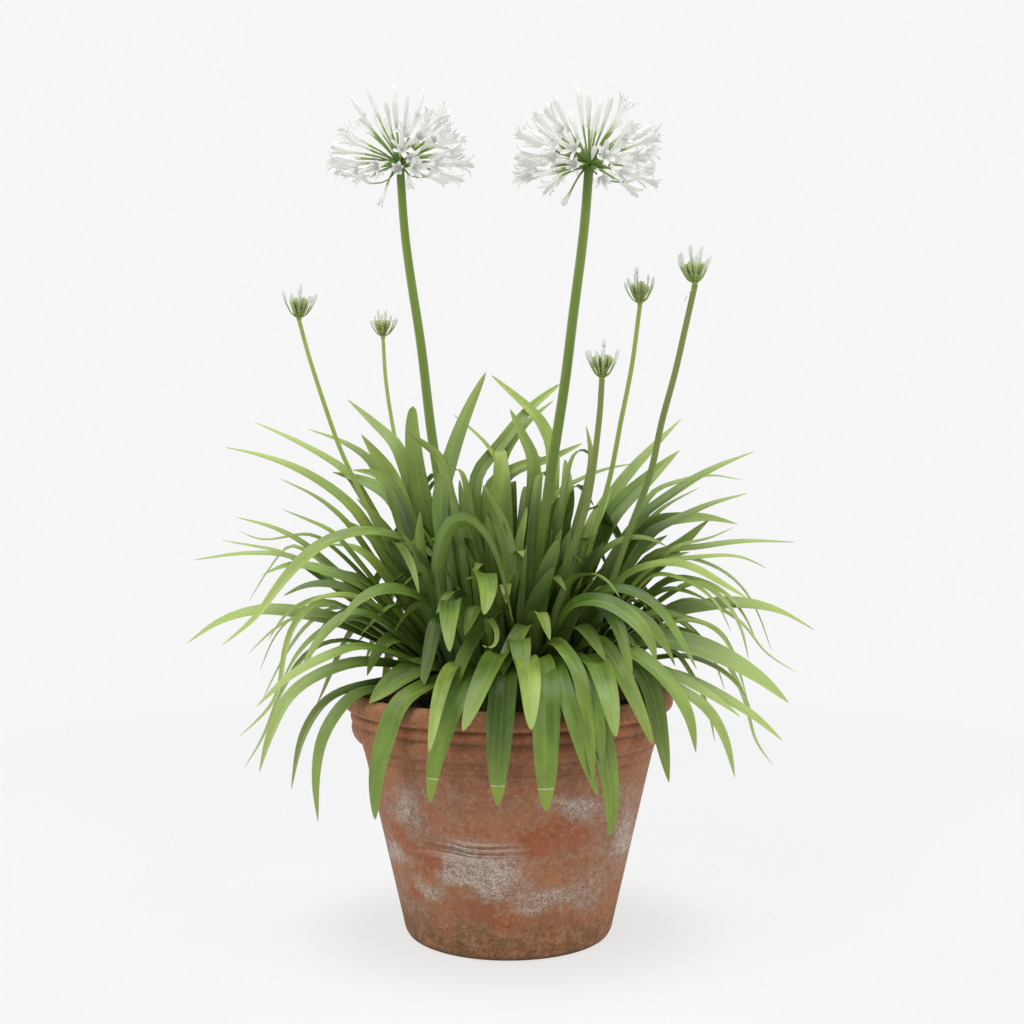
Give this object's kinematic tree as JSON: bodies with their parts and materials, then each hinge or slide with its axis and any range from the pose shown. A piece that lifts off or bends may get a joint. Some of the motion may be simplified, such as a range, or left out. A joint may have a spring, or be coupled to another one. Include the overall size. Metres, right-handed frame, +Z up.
{
  "type": "potted agapanthus",
  "caption": "Garden perennial in a rolled-rim terracotta pot: a clump of arching strap leaves under round white flower heads and closed bud heads on bare stems.",
  "frame": {"origin": "centre of the pot's footprint on the surface it stands on", "axes": "+Z up, -Y towards the viewer of the front, +X to the viewer's right"},
  "size_m": [0.6946, 0.4965, 0.94],
  "materials": {
    "terracotta": "unglazed weathered terracotta with pale lime bloom",
    "soil": "dark damp potting mix",
    "leaf": "satin living leaf with fine lengthwise veins",
    "stem": "smooth satin green stalk",
    "petal": "soft matte white petals on green stalks",
    "bud": "soft matte white buds on green stalks"
  },
  "bodies": {
    "root": {"pot": "terracotta", "soil": "soil", "leaf_fan_front": "leaf", "leaf_fan_front_right": "leaf", "leaf_fan_right": "leaf", "leaf_fan_back_right": "leaf", "leaf_fan_back": "leaf", "leaf_fan_back_left": "leaf", "leaf_fan_left": "leaf", "leaf_fan_front_left": "leaf", "flower_stem_left": "stem", "flower_stem_right": "stem", "bud_stem_1": "stem", "bud_stem_2": "stem", "bud_stem_3": "stem", "bud_stem_4": "stem", "bud_stem_5": "stem", "umbel_left": "petal", "umbel_right": "petal", "bud_head_1": "bud", "bud_head_2": "bud", "bud_head_3": "bud", "bud_head_4": "bud", "bud_head_5": "bud"}
  },
  "joints": []
}
